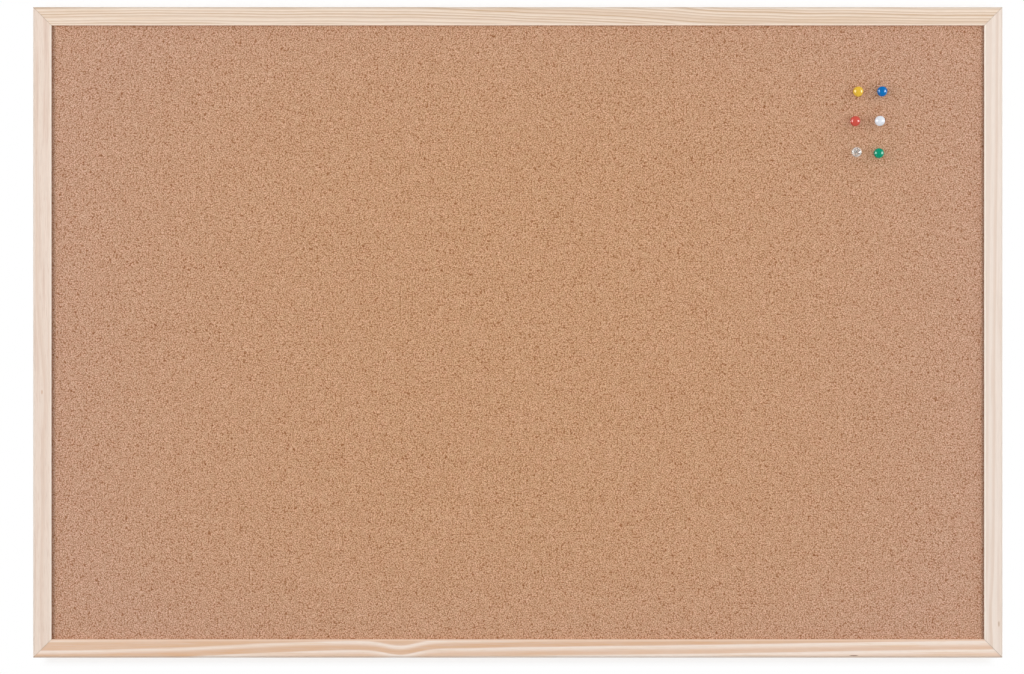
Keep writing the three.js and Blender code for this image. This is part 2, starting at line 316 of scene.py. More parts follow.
world = bpy.data.worlds.new("whiteRoom")
world.use_nodes = True
bpy.context.scene.world = world
tree = world.node_tree
rays = tree.nodes.new("ShaderNodeLightPath").outputs
direction = split(tree.nodes.new("ShaderNodeTexCoord").outputs["Generated"])
glossRay = calc("MAXIMUM", rays["Is Glossy Ray"], rays["Is Transmission Ray"])
shine = times(glossRay, remap(direction["Y"], *room["dimRange"], room["dimFront"], 1.0))
shine = calc("MAXIMUM", shine, rays["Is Camera Ray"])
matteRay = minus(1.0, calc("MAXIMUM", rays["Is Camera Ray"], glossRay))
background = tree.nodes["Background"]
background.inputs["Color"].default_value = (1, 1, 1, 1)
feed(background.inputs["Strength"], timesPlus(matteRay, room["ambient"], shine))
spread(tree)


def stageMaterial(name, upAxis, plain):
    # pale to the camera from the front, clear to every other ray, plain white towards its rim
    material, tree, shader, place = newMaterial(name)
    tree.nodes.remove(shader)
    sideways, upwards = (calc("ABSOLUTE", split(place)[axis]) for axis in ("X", upAxis))
    rim = calc("MAXIMUM", remap(sideways, *plain[0]), remap(upwards, *plain[1]))
    speckle = noiseAt(place, room["speckleRate"], 3.0)["Fac"]
    catch = room["wallCatch"]
    paint = mixed(speckle, (*(catch,) * 3, 1), (*(catch * room["speckleDepth"],) * 3, 1))
    matte = newNode("BsdfDiffuse", paint).outputs[0]
    glow = tree.nodes.new("ShaderNodeEmission")
    glow.inputs["Strength"].default_value = room["wallGlow"]
    lit = newNode("AddShader", glow.outputs[0], matte).outputs[0]
    white = tree.nodes.new("ShaderNodeEmission").outputs[0]
    clear = tree.nodes.new("ShaderNodeBsdfTransparent").outputs[0]
    cameraRay = tree.nodes.new("ShaderNodeLightPath").outputs["Is Camera Ray"]
    behind = tree.nodes.new("ShaderNodeNewGeometry").outputs["Backfacing"]
    shown = times(cameraRay, minus(1.0, behind))
    surface = shaderBlend(shown, clear, shaderBlend(rim, lit, white))
    feed(tree.nodes["Material Output"].inputs["Surface"], surface)
    spread(tree)
    return material


def stagePlane(name, halves, cornerAt, material):
    # cornerAt turns a corner of the flat rectangle into a place in the room
    wide, high = halves
    flat = [(-wide, -high), (wide, -high), (wide, high), (-wide, high)]
    mesh = bpy.data.meshes.new(name)
    mesh.from_pydata([cornerAt(*corner) for corner in flat], [], [(0, 1, 2, 3)])
    mesh.materials.append(material)
    newObject(name, mesh)


def onWall(x, z):
    return x, cadBounds[1].y + room["wallGap"], z


def onFloor(x, y):
    return x, y, -room["floorDrop"]


stagePlane("wall", room["wallHalf"], onWall, stageMaterial("wallPaint", "Z", room["wallPlain"]))
stagePlane("floor", room["floorHalf"], onFloor, stageMaterial("floorPaint", "Y", room["floorPlain"]))
print("room set")


# Wood grain: growth rings about a pith line, slow waves, fibres and pores

grainLook = {
    # changes per metre along, through and across the member, then detail and roughness
    "fibres": ((40.0, 1300.0, 1300.0), 4.0, 0.6),
    "threads": ((110.0, 4200.0, 4200.0), 2.0, 0.6),
    "streaks": ((9.0, 330.0, 330.0), 3.0, 0.55),
    "strokes": ((75.0, 1500.0, 1500.0), 3.0, 0.55),
    "pores": ((150.0, 5200.0, 5200.0), 1.0, 0.5),
    "waveStretch": (1.0, 3.0, 3.0),
    "fibreBreak": (0.25, 0.75, 0.65, 1.15),  # how the fibres break up the late wood
    "streakRange": (0.5, 0.72),
    "strokeRange": (0.52, 0.68),
    "poreRange": (0.72, 0.8),
    "poreStrength": 0.35,
    "poreColor": tone(176, 134, 98),
    "yearRate": 0.55,  # how fast good and lean years follow each other
    "leanYear": 0.45,  # strength of the faintest year
    "lateRise": (0.25, 0.3),  # share of a year before and after the start of its late wood
    "lateFade": 0.82,
    "bandFade": 0.8,  # years
    "markFray": 0.9,
    "markRim": (0.1, 1.0, 1.0, 0.0),
    "relief": {"late": 0.5, "fibres": 0.5, "threads": 0.35, "pores": 0.8},
    "roughness": (0.2, 0.8, 0.5, 0.62),
    # metres from and to, and the strength at both; the outer edge's band is a painted shade, the inner edge's
    # band a painted highlight, on the bottom rail a painted shade
    "outerEdge": (0.0009, 0.0024, 0.38, 0.0),
    "innerEdge": (0.0152, 0.0162, 0.0, 0.9),
    "seam": (0.00005, 0.00055, 0.55, 0.0),
    "seamColor": tone(168, 140, 116),
}

tree, given = newGroup(
    "woodGrain",
    ["Ring Spacing", "Pith Across", "Pith Depth", "Tilt", "Sweep Place", "Sweep Length", "Sweep Size",
     "Wave Length", "Wave Size", "Bend Place", "Bend Length", "Bend Size", "Year Spread", "Late Share",
     "Late Drift", "Late Strength", "Streak Strength", "Stroke Strength", "Fibre Strength", "Band Year",
     "Band Width", "Band Strength", "Mark Along", "Mark Across", "Mark Length", "Mark Width", "Half Length"],
    ["Pale Color", "Late Color", "Streak Color", "Mark Color", "Outer Edge Color", "Inner Edge Color"])
woodGrain = tree
place = given["Vector"]
along, depth, across = split(place)

# slow waves carry the ring lines up and down along the member
waveRate = over(1.0, given["Wave Length"])
slowPlace = vectorCalc("MULTIPLY", place, grainLook["waveStretch"])
slow = split(noiseAt(slowPlace, waveRate, 2.0, 0.4)["Color"], "Color")
waveAcross = swing(slow[0], given["Wave Size"])
waveDepth = swing(slow[1], given["Wave Size"])

# one bend in the grain, as beside a hidden knot
fromBend = over(minus(along, given["Bend Place"]), given["Bend Length"])
bell = calc("EXPONENT", times(times(fromBend, fromBend), -1.0))
bend = times(bell, given["Bend Size"])

# and one long sweep, where the log leant
sweepHalf = times(given["Sweep Length"], 0.5)
sweepFrom = minus(given["Sweep Place"], sweepHalf)
sweepTo = plus(given["Sweep Place"], sweepHalf)
bend = plus(bend, times(remap(along, sweepFrom, sweepTo), given["Sweep Size"]))

# distance from the pith, in years of even growth
fromPithAcross = minus(across, given["Pith Across"])
fromPithAcross = plus(fromPithAcross, timesPlus(waveAcross, 2.0, bend))
fromPithAcross = plus(fromPithAcross, times(along, given["Tilt"]))
fromPithDepth = timesPlus(waveDepth, 2.0, minus(depth, given["Pith Depth"]))
squareSum = timesPlus(fromPithAcross, fromPithAcross, times(fromPithDepth, fromPithDepth))
evenYears = over(calc("SQRT", squareSum), given["Ring Spacing"])

# good and lean years: the rings differ in width and in strength
years = newNode("TexNoise", evenYears, grainLook["yearRate"], slots=("W", "Scale"), noise_dimensions="1D")
rings = timesPlus(minus(years.outputs["Fac"], 0.5), given["Year Spread"], evenYears)
phase = calc("FRACT", rings)
yearly = newNode("TexWhiteNoise", calc("FLOOR", rings), slots=("W",), noise_dimensions="1D")
yearStrength = remap(yearly.outputs["Value"], 0.0, 1.0, grainLook["leanYear"], 1.0, smooth=False)
lateStart = minus(1.0, timesPlus(along, given["Late Drift"], given["Late Share"]))
riseFrom = minus(lateStart, grainLook["lateRise"][0])
rising = remap(phase, riseFrom, plus(lateStart, grainLook["lateRise"][1]))
falling = remap(phase, grainLook["lateFade"], 1.0, 1.0, 0.0)
late = times(times(rising, falling), yearStrength)

# broad streaks under the late wood, short warm strokes and one band of dense years over it
fibres, threads, streaks, strokes, pores = (
    streaked(place, *grainLook[name]) for name in ("fibres", "threads", "streaks", "strokes", "pores"))
lateShade = times(late, remap(fibres, *grainLook["fibreBreak"], smooth=False))
lateShade = times(lateShade, given["Late Strength"], clamp=True)
streakShade = times(remap(streaks, *grainLook["streakRange"]), given["Streak Strength"])
colour = mixed(streakShade, given["Pale Color"], given["Streak Color"])
colour = mixed(lateShade, colour, given["Late Color"])
strokeShade = times(remap(strokes, *grainLook["strokeRange"]), given["Stroke Strength"])
colour = mixed(strokeShade, colour, given["Streak Color"])
fromBand = calc("ABSOLUTE", minus(evenYears, given["Band Year"]))
bandEdge = plus(given["Band Width"], grainLook["bandFade"])
bandMask = remap(fromBand, given["Band Width"], bandEdge, 1.0, 0.0)
colour = mixed(times(bandMask, given["Band Strength"]), colour, given["Late Color"])
fibreShade = swing(fibres, given["Fibre Strength"])
threadShade = swing(threads, given["Fibre Strength"])
colour = shaded(colour, plus(1.0, plus(fibreShade, threadShade)))

# resin pores: thin short brown dashes
poreShade = remap(pores, *grainLook["poreRange"])
colour = mixed(times(poreShade, grainLook["poreStrength"]), colour, grainLook["poreColor"])

# one knot or resin streak, soft at its rim
markAlong = over(minus(along, given["Mark Along"]), given["Mark Length"])
markAcross = over(minus(across, given["Mark Across"]), given["Mark Width"])
markSquare = timesPlus(markAlong, markAlong, times(markAcross, markAcross))
markSquare = timesPlus(minus(fibres, 0.5), grainLook["markFray"], markSquare)
colour = mixed(remap(markSquare, *grainLook["markRim"]), colour, given["Mark Color"])

# the rounded outer edge gets a painted shade, the inner one a painted highlight (a painted shade on the
# bottom rail), dust fills the mitre's hairline
outward = times(across, -1.0)
colour = mixed(remap(outward, *grainLook["outerEdge"]), colour, given["Outer Edge Color"])
colour = mixed(remap(outward, *grainLook["innerEdge"]), colour, given["Inner Edge Color"])
toMitre = plus(minus(given["Half Length"], calc("ABSOLUTE", along)), across)
colour = mixed(remap(toMitre, *grainLook["seam"]), colour, grainLook["seamColor"])
relief = grainLook["relief"]
height = timesPlus(fibres, relief["fibres"], times(threads, relief["threads"]))
height = minus(timesPlus(late, relief["late"], height), times(poreShade, relief["pores"]))
deliver(tree, colour, height, remap(fibres, *grainLook["roughness"], smooth=False))

# Moulded plastic: cloudy colour, fine ripple, a few scratches

mouldLook = {
    "cloudRate": 420.0,
    "rippleRate": 1500.0,
    "scuffStretch": (900.0, 9000.0, 5200.0),
    "scuffRange": (0.62, 0.72),
    "roughness": (0.3, 0.7, 0.14, 0.22),
    "scratchRoughness": 0.25,
    "scratchDepth": -0.6,
}

tree, given = newGroup("mouldedSkin", ["Cloud", "Scratch"], ["Color"])
mouldedSkin = tree
cloud = noiseAt(given["Vector"], mouldLook["cloudRate"], 3.0)["Fac"]
ripple = noiseAt(given["Vector"], mouldLook["rippleRate"])["Fac"]
scuffs = streaked(given["Vector"], mouldLook["scuffStretch"], 2.0)
scratch = times(remap(scuffs, *mouldLook["scuffRange"]), given["Scratch"])
colour = shaded(given["Color"], timesPlus(minus(cloud, 0.5), given["Cloud"], 1.0))
rough = timesPlus(scratch, mouldLook["scratchRoughness"], remap(ripple, *mouldLook["roughness"]))
deliver(tree, colour, timesPlus(scratch, mouldLook["scratchDepth"], ripple), rough)

# Plated or drawn steel: cloudy plating, draw lines, dull spots

plateLook = {
    "cloudRate": 650.0,
    "cloudRange": (0.4, 0.7, 0.0, 0.6),
    "spotRate": 1900.0,
    "spotRange": (0.58, 0.7),
    "spotShare": 0.5,
    "spotDepth": -0.4,
    "lineRoughness": 0.3,
    "dullRoughness": 0.2,
}

tree, given = newGroup("platedSkin", ["Dullness", "Base Roughness"], ["Color", "Dull Color"],
                       ["Vector", "Line Stretch"])
platedSkin = tree
clouds = noiseAt(given["Vector"], plateLook["cloudRate"], 4.0, 0.6)["Fac"]
spots = remap(noiseAt(given["Vector"], plateLook["spotRate"])["Fac"], *plateLook["spotRange"])
lines = streaked(given["Vector"], given["Line Stretch"], 3.0, 0.6)
dull = timesPlus(spots, plateLook["spotShare"], remap(clouds, *plateLook["cloudRange"]))
dull = times(dull, given["Dullness"], clamp=True)
rough = plus(given["Base Roughness"], swing(lines, plateLook["lineRoughness"]))
rough = plus(rough, times(dull, plateLook["dullRoughness"]))
colour = mixed(dull, given["Color"], given["Dull Color"])
deliver(tree, colour, plus(lines, times(spots, plateLook["spotDepth"])), rough)

# Pressed wood fibre: matted threads at several angles with darker bark bits

matLook = {
    "angles": (0.2, 0.95, 1.7, 2.5),  # radians, one for each layer of threads
    "stretch": (1.0, 6.0, 7.0),
    "mottleRate": 60.0,
    "mottleRange": (0.3, 0.7, 0.0, 0.3),
    "bitRate": 520.0,
    "bitRange": (0.66, 0.72),
    "bitStrength": 0.55,
    "bitDepth": -0.4,
    "threadRange": (0.55, 0.78),
    "roughness": (0.4, 0.8, 0.95, 0.8),
}

tree, given = newGroup("fibreMat", ["Fibre Rate", "Contrast"], ["Color", "Dark Color", "Light Color"])
fibreMat = tree
weave = None
for angle in matLook["angles"]:
    turned = newNode("Mapping", given["Vector"], (0, angle, 0), slots=("Vector", "Rotation")).outputs[0]
    drawnOut = vectorCalc("MULTIPLY", turned, matLook["stretch"])
    scaled = vectorCalc("SCALE", drawnOut, given["Fibre Rate"], slots=(0, "Scale"))
    strand = noiseAt(scaled, 1.0, 2.0, 0.55)["Fac"]
    weave = strand if weave is None else calc("MAXIMUM", weave, strand)
mottle = noiseAt(given["Vector"], matLook["mottleRate"], 4.0, 0.6)["Fac"]
bits = remap(noiseAt(given["Vector"], matLook["bitRate"])["Fac"], *matLook["bitRange"])
threadMask = times(remap(weave, *matLook["threadRange"]), given["Contrast"])
mottleMask = remap(mottle, *matLook["mottleRange"])
colour = mixed(mottleMask, given["Color"], given["Dark Color"])
colour = mixed(threadMask, colour, given["Light Color"])
colour = mixed(times(bits, matLook["bitStrength"]), colour, given["Dark Color"])
deliver(tree, colour, timesPlus(bits, matLook["bitDepth"], weave), remap(weave, *matLook["roughness"]))
print("surface groups made")


# Mesh helpers: outlines are lists of flat points, in metres


def arc(centreX, centreY, radius, fromDegrees, toDegrees, steps):
    made = []
    for step in range(steps + 1):
        angle = math.radians(fromDegrees + (toDegrees - fromDegrees) * step / steps)
        made.append((centreX + radius * math.cos(angle), centreY + radius * math.sin(angle)))
    return made


def curveOn(path, handle, end, steps):
    # runs a curve on from the last point of a path
    start = path[-1]
    for step in range(1, steps + 1):
        share = step / steps
        rest = 1 - share
        path.append(tuple(rest * rest * a + 2 * rest * share * b + share * share * c
                          for a, b, c in zip(start, handle, end)))


def inset(outline, amount):
    # moves every point of a counterclockwise outline inwards
    made = []
    for index, point in enumerate(outline):
        before = Vector(point) - Vector(outline[index - 1])
        after = Vector(outline[(index + 1) % len(outline)]) - Vector(point)
        normals = [Vector((-edge.y, edge.x)).normalized() for edge in (before, after)]
        middle = (normals[0] + normals[1]).normalized()
        made.append(tuple(Vector(point) + middle * (amount / max(0.4, middle.dot(normals[0])))))
    return made


def meshPiece(name, points, faces):
    mesh = bpy.data.meshes.new(name)
    mesh.from_pydata([tuple(point) for point in points], [], faces)
    shaped = bmesh.new()
    shaped.from_mesh(mesh)
    bmesh.ops.remove_doubles(shaped, verts=shaped.verts, dist=1e-7)
    bmesh.ops.recalc_face_normals(shaped, faces=shaped.faces)
    shaped.to_mesh(mesh)
    shaped.free()
    return newObject(name, mesh)


def loft(name, sections):
    # skins a row of closed sections that have the same number of points, and caps both ends
    points = [point for section in sections for point in section]
    count = len(sections[0])
    faces = [tuple(range(count)), tuple(range(len(points) - count, len(points)))]
    for first in range(0, len(points) - count, count):
        for column in range(count):
            ahead = (column + 1) % count
            faces.append((first + column, first + ahead, first + count + ahead, first + count + column))
    return meshPiece(name, points, faces)


def lathe(name, outline, segments):
    # outline: (radius, y) pairs from axis to axis, turned round the Y axis
    points = []
    rows = []
    for radius, y in outline:
        if radius < 1e-9:
            rows.append([len(points)] * segments)
            points.append((0, y, 0))
            continue
        rows.append(list(range(len(points), len(points) + segments)))
        for step in range(segments):
            angle = 2 * math.pi * step / segments
            points.append((radius * math.cos(angle), y, radius * math.sin(angle)))
    faces = []
    for upper, lower in zip(rows, rows[1:]):
        for step in range(segments):
            ahead = (step + 1) % segments
            corners = [upper[step], upper[ahead], lower[ahead], lower[step]]
            corners = [corner for index, corner in enumerate(corners) if corner not in corners[:index]]
            if len(corners) > 2:
                faces.append(tuple(corners))
    return meshPiece(name, points, faces)


def slab(name, plan, low, high):
    # a plan in X and Z, drawn from one height of Y to another
    return loft(name, [[(x, y, z) for x, z in plan] for y in (low, high)])


def extrude(name, outline, width):
    # outline in X and Y, thickness along Z, both sides alike
    return loft(name, [[(x, y, z) for x, y in outline] for z in (-width / 2, width / 2)])


def boolean(piece, other, operation):
    cut = piece.modifiers.new(operation.lower(), "BOOLEAN")
    cut.operation = operation
    cut.solver = "EXACT"
    cut.object = other


def soften(piece, width, segments, sharpest):
    # rounds the edges that turn by more than so many degrees
    soft = piece.modifiers.new("softEdge", "BEVEL")
    soft.width = width
    soft.segments = segments
    soft.limit_method = "ANGLE"
    soft.angle_limit = math.radians(sharpest)


def bake(piece):
    bpy.context.view_layer.update()
    graph = bpy.context.evaluated_depsgraph_get()
    mesh = bpy.data.meshes.new_from_object(piece.evaluated_get(graph), depsgraph=graph)
    mesh.name = piece.name
    piece.modifiers.clear()
    piece.data = mesh


def settle(piece, cutters=(), sharpAngle=30.0):
    # bakes the modifiers, drops the cutters and smooths what isn't a real edge
    bake(piece)
    for cutter in cutters:
        bpy.data.objects.remove(cutter)
    piece.data.shade_smooth()
    piece.data.set_sharp_from_angle(angle=math.radians(sharpAngle))
    even = piece.modifiers.new("evenNormals", "WEIGHTED_NORMAL")
    even.keep_sharp = True
    even.weight = 80
    bake(piece)
    return piece


def dress(piece, material, body, nodeName):
    piece.data.materials.clear()
    piece.data.materials.append(material)
    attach(piece, body)
    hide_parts(nodeName)


# Frame: four mitred members of one grooved moulding

moulding = {
    "boardWidth": 0.9,
    "boardHeight": 0.604,
    "face": 0.017,
    "depth": 0.016,
    "grooveDepth": 0.007,
    "frontLip": 0.0035,
    "backLip": 0.0035,
    "outerEdge": 0.0022,  # rounding of the front edges
    "innerEdge": 0.0009,
    "backEdge": 0.0006,
    "glueLines": (0.00003, 0.00005, 0.00013, 0.00005),  # from the upper left corner round to the lower left
    "eased": 0.00006,  # tiny chamfer round each mitre
    "steps": 10,
    "backSteps": 5,
}


def mouldingOutline():
    # x in from the outer edge, y forward from the back, counterclockwise
    m = moulding
    face, depth = m["face"], m["depth"]
    outer, inner, back = m["outerEdge"], m["innerEdge"], m["backEdge"]
    groove, lip = face - m["grooveDepth"], depth - m["frontLip"]
    outline = arc(face - back, back, back, -90, 0, m["backSteps"])
    outline += [(face, m["backLip"]), (groove, m["backLip"]), (groove, lip), (face, lip)]
    outline += arc(face - inner, depth - inner, inner, 0, 90, m["steps"])
    outline += arc(outer, depth - outer, outer, 90, 180, m["steps"])
    outline += arc(back, back, back, 180, 270, m["backSteps"])
    return outline


def frameMember(name, length, glueLines):
    full = mouldingOutline()
    small = inset(full, moulding["eased"])
    sections = []
    for side, glueLine in zip((-1, 1), glueLines):
        half = (length - glueLine * math.sqrt(2)) / 2
        end = [(side * (half - inward), -forward, -inward) for inward, forward in small]
        body = [(side * (half - inward - moulding["eased"]), -forward, -inward) for inward, forward in full]
        sections += [end, body] if side < 0 else [body, end]
    return loft(name, sections)


# Staples: bent flat wire across each mitre, driven flush from behind

staples = {
    "crown": 0.0086,
    "leg": 0.0095,
    "wireThickness": 0.0007,
    "wireWidth": 0.0012,
    "bend": 0.0009,
    "pointRise": 0.0008,
    "sink": 0.0001,
    "clearance": 0.00015,
    "firstInset": 0.0055,
    "pitch": 0.0055,
    "perCorner": 2,
    "bendSteps": 8,
    "hollowSteps": 4,
    "softEdge": 0.00018,
    "slotTop": 0.002,  # the cutters stand out of the wood by this much
}


def stapleShape(name, clearance, top):
    s = staples
    outer = s["crown"] / 2 + clearance
    inner = s["crown"] / 2 - s["wireThickness"] - clearance
    under = -s["sink"] - s["wireThickness"] - clearance
    point = -s["sink"] - s["leg"] - clearance
    hollow = max(0.0001, s["bend"] - s["wireThickness"])
    outline = [(inner, point + s["pointRise"]), (outer, point)]
    outline += arc(outer - s["bend"], top - s["bend"], s["bend"], 0, 90, s["bendSteps"])
    outline += arc(s["bend"] - outer, top - s["bend"], s["bend"], 90, 180, s["bendSteps"])
    outline += [(-outer, point), (-inner, point + s["pointRise"])]
    outline += arc(hollow - inner, under - hollow, hollow, 180, 90, s["hollowSteps"])
    outline += arc(inner - hollow, under - hollow, hollow, 90, 0, s["hollowSteps"])
    return extrude(name, outline, s["wireWidth"] + 2 * clearance)


def atCorner(piece, sideX, sideZ, index):
    gap = staples["firstInset"] + index * staples["pitch"]
    halfWidth, halfHeight = moulding["boardWidth"] / 2, moulding["boardHeight"] / 2
    piece.location = (sideX * (halfWidth - gap), 0, sideZ * (halfHeight - gap))
    piece.rotation_euler = (0, sideX * sideZ * math.pi / 4, 0)
    return piece


staplePlaces = [(name + "_" + str(index + 1), sideX, sideZ, index)
                for name, sideX, sideZ in (("top_left", -1, 1), ("top_right", 1, 1),
                                           ("bottom_left", -1, -1), ("bottom_right", 1, -1))
                for index in range(staples["perCorner"])]
slotCutters = [atCorner(stapleShape("slotCutter", staples["clearance"], staples["slotTop"]), *place)
               for label, *place in staplePlaces]

# what the four members share, unless a member says otherwise; a mark this far across doesn't show
sharedPine = {
    "Late Drift": 0.0, "Sweep Place": 0.0, "Sweep Length": 0.2, "Sweep Size": 0.0,
    "Band Year": 0.0, "Band Width": 0.5, "Band Strength": 0.0,
    "Mark Along": 0.0, "Mark Across": 0.1, "Mark Length": 0.001, "Mark Width": 0.001,
    # the outer edge colour is a painted shade
    "Mark Color": (170, 130, 98), "Outer Edge Color": (212, 200, 188),
    "bump": 0.00006, "shader": {"Specular IOR Level": 0.35},
}

# each member's own board of pine, in metres from its middle and its outer edge; its inner edge colour is a
# painted highlight, on the bottom rail a painted shade
pine = {
    "frame_rail_top": {
        "length": moulding["boardWidth"], "turn": 0, "place": (0, 0, moulding["boardHeight"] / 2),
        "Ring Spacing": 0.0025, "Pith Across": -0.11, "Pith Depth": 0.05, "Tilt": 0.002,
        "Sweep Place": 0.113, "Sweep Length": 0.42, "Sweep Size": 0.016,
        "Wave Length": 0.13, "Wave Size": 0.0028,
        "Bend Place": -0.31, "Bend Length": 0.06, "Bend Size": -0.0008,
        "Year Spread": 0.9, "Late Share": 0.5, "Late Strength": 1.0,
        "Band Year": 51.7, "Band Width": 0.35, "Band Strength": 0.24,
        "Pale Color": (243, 223, 205), "Late Color": (203, 163, 122), "Streak Color": (228, 198, 168),
        "Stroke Strength": 0.35, "Inner Edge Color": (255, 236, 218),
        "Streak Strength": 0.5, "Fibre Strength": 0.17,
    },
    "frame_stile_right": {
        "length": moulding["boardHeight"], "turn": 1, "place": (moulding["boardWidth"] / 2, 0, 0),
        "Ring Spacing": 0.0062, "Pith Across": -0.07, "Pith Depth": 0.04, "Tilt": 0.006,
        "Wave Length": 0.4, "Wave Size": 0.003, "Bend Place": 0.26, "Bend Length": 0.03, "Bend Size": 0.002,
        "Year Spread": 1.3, "Late Share": 0.5, "Late Strength": 0.5,
        "Pale Color": (242, 226, 214), "Late Color": (217, 186, 161), "Streak Color": (230, 207, 190),
        "Stroke Strength": 0.25, "Inner Edge Color": (255, 243, 230),
        "Streak Strength": 0.55, "Fibre Strength": 0.13,
        "Mark Along": 0.2706, "Mark Across": -0.0036, "Mark Length": 0.0034, "Mark Width": 0.0011,
        "Mark Color": (212, 184, 162),
    },
    "frame_rail_bottom": {
        "length": moulding["boardWidth"], "turn": 2, "place": (0, 0, -moulding["boardHeight"] / 2),
        "Ring Spacing": 0.0058, "Pith Across": -0.053, "Pith Depth": 0.03, "Tilt": -0.015,
        "Sweep Place": 0.2524, "Sweep Length": 0.2, "Sweep Size": -0.0048,
        "Wave Length": 0.17, "Wave Size": 0.0009,
        "Bend Place": 0.1086, "Bend Length": 0.02, "Bend Size": -0.0052,
        "Year Spread": 0.3, "Late Share": 0.74, "Late Drift": 0.25, "Late Strength": 1.0,
        "Pale Color": (248, 230, 217), "Late Color": (219, 168, 124), "Streak Color": (231, 196, 163),
        "Stroke Strength": 0.3, "Inner Edge Color": (240, 208, 184),
        "Streak Strength": 0.6, "Fibre Strength": 0.15,
        "Mark Along": -0.3118, "Mark Across": -0.0019, "Mark Length": 0.0052, "Mark Width": 0.0006,
        "Mark Color": (140, 104, 78),
    },
    "frame_stile_left": {
        "length": moulding["boardHeight"], "turn": -1, "place": (-moulding["boardWidth"] / 2, 0, 0),
        "Ring Spacing": 0.0075, "Pith Across": -0.03, "Pith Depth": 0.03, "Tilt": -0.01,
        "Sweep Place": -0.03, "Sweep Length": 0.15, "Sweep Size": -0.005,
        "Wave Length": 0.25, "Wave Size": 0.006, "Bend Place": -0.05, "Bend Length": 0.05, "Bend Size": 0.003,
        "Year Spread": 1.3, "Late Share": 0.4, "Late Strength": 0.36,
        "Pale Color": (238, 218, 203), "Late Color": (212, 176, 149), "Streak Color": (222, 193, 174),
        "Stroke Strength": 0.6, "Inner Edge Color": (255, 240, 226),
        "Streak Strength": 0.75, "Fibre Strength": 0.16,
        "Mark Along": -0.0554, "Mark Across": -0.0083, "Mark Length": 0.0026, "Mark Width": 0.0009,
        "Mark Color": (220, 184, 158),
    },
}

for nodeName, board in pine.items():
    turn = board["turn"]
    pieceName = nodeName.replace("frame_", "pine_")
    glueLines = (moulding["glueLines"][turn], moulding["glueLines"][(turn + 1) % 4])
    member = frameMember(pieceName, board["length"], glueLines)
    member.rotation_euler = (0, turn * math.pi / 2, 0)
    member.location = board["place"]
    for cutter in slotCutters:
        boolean(member, cutter, "DIFFERENCE")
    settle(member)
    material = skinned(pieceName, woodGrain, {**sharedPine, **board, "Half Length": board["length"] / 2})
    dress(member, material, "board", nodeName)
for cutter in slotCutters:
    bpy.data.objects.remove(cutter)
print("frame made")


# Cork: pressed granules and lumps of them, dark where they part, each of finer crumbs in many shades

cork = {
    "granule": 0.0014,  # metres across
    "lump": 0.0026,
    "crumb": 0.0006,
    "warp": 0.0005,
    "base": (195, 146, 107),  # as seen on screen
    "reach": (70, 84, 90),  # the shades run this far below and above the base
    "rampSteps": 8,
    "shades": {  # how far each pattern moves the shade, minus for darker, and the pattern's own middle
        "granules": (9, 0.5),
        "hollows": (-82, 0.44),
        "joints": (-12, 0.3),
        "lumpJoints": (-8, 0.4),
        "crumbs": (46, 0.5),
        "dust": (16, 0.5),
        "patches": (4, 0.5),
        "bark": (-34, 0.03),
    },
    "jointWidth": (0.015, 0.1),  # from and to, as a share of a granule or a lump
    "lumpWidth": (0.024, 0.12),
    "barkFrom": (0.965, 0.975),
    "warpRate": 1100.0,  # changes per metre
    "dustRate": 3200.0,
    "patchRate": 110.0,
    "hueRate": 190.0,
    "hueShift": (0.31, 0.0, 0.17),
    "hueRange": (0.2, 0.8),
    # painted sheen and shade towards the frame: bluer, and a little darker in red
    "edgeSheenTint": (192, 146, 117),
    "warmTint": (206, 154, 124),
    "warmPatches": (0.4, 0.75, 0.0, 0.2),
    "ruddy": (1.01, 0.987, 0.99, 1),  # faint patches of redder and yellower granules
    "sallow": (0.99, 1.013, 1.01, 1),
    "sideCurve": 0.3,  # how late the painted sheen comes in towards the stiles
    "railSheenShare": 0.55,  # and how strong it is at the rails
    "lipFrom": 0.0005,  # painted shade under the side lips, where their shadow falls, metres from them
    "lipTo": {"Left": 0.005, "Right": 0.0036},
    # how dark the painted shade under the side lips is
    "paintedLipShade": 0.38,
    "halfWidth": 0.433,  # of the cork in sight
    "halfHeight": 0.285,
    "roughness": (0.3, 0.7, 0.95, 0.82),
    "relief": {"granules": 0.35, "joints": -0.7, "hollows": -0.25, "dust": 0.6},
    "bump": 0.0001,
    "bumpStrength": 0.6,
    "specular": 0.2,
}

material, tree, shader, place = newMaterial("corkGranules")
placeParts = split(place)
flat = newNode("CombineXYZ", placeParts["X"], placeParts["Z"]).outputs[0]
wobble = noiseAt(place, cork["warpRate"])["Color"]
wobble = vectorCalc("ADD", wobble, (-0.5, -0.5, -0.5))
wobble = vectorCalc("MULTIPLY", wobble, (cork["warp"],) * 3)
shaken = vectorCalc("ADD", flat, wobble)


def flatCells(name, feature="F1"):
    slots = ("Vector", "Scale")
    rate = 1 / cork[name]
    return newNode("TexVoronoi", shaken, rate, slots=slots, feature=feature, voronoi_dimensions="2D").outputs


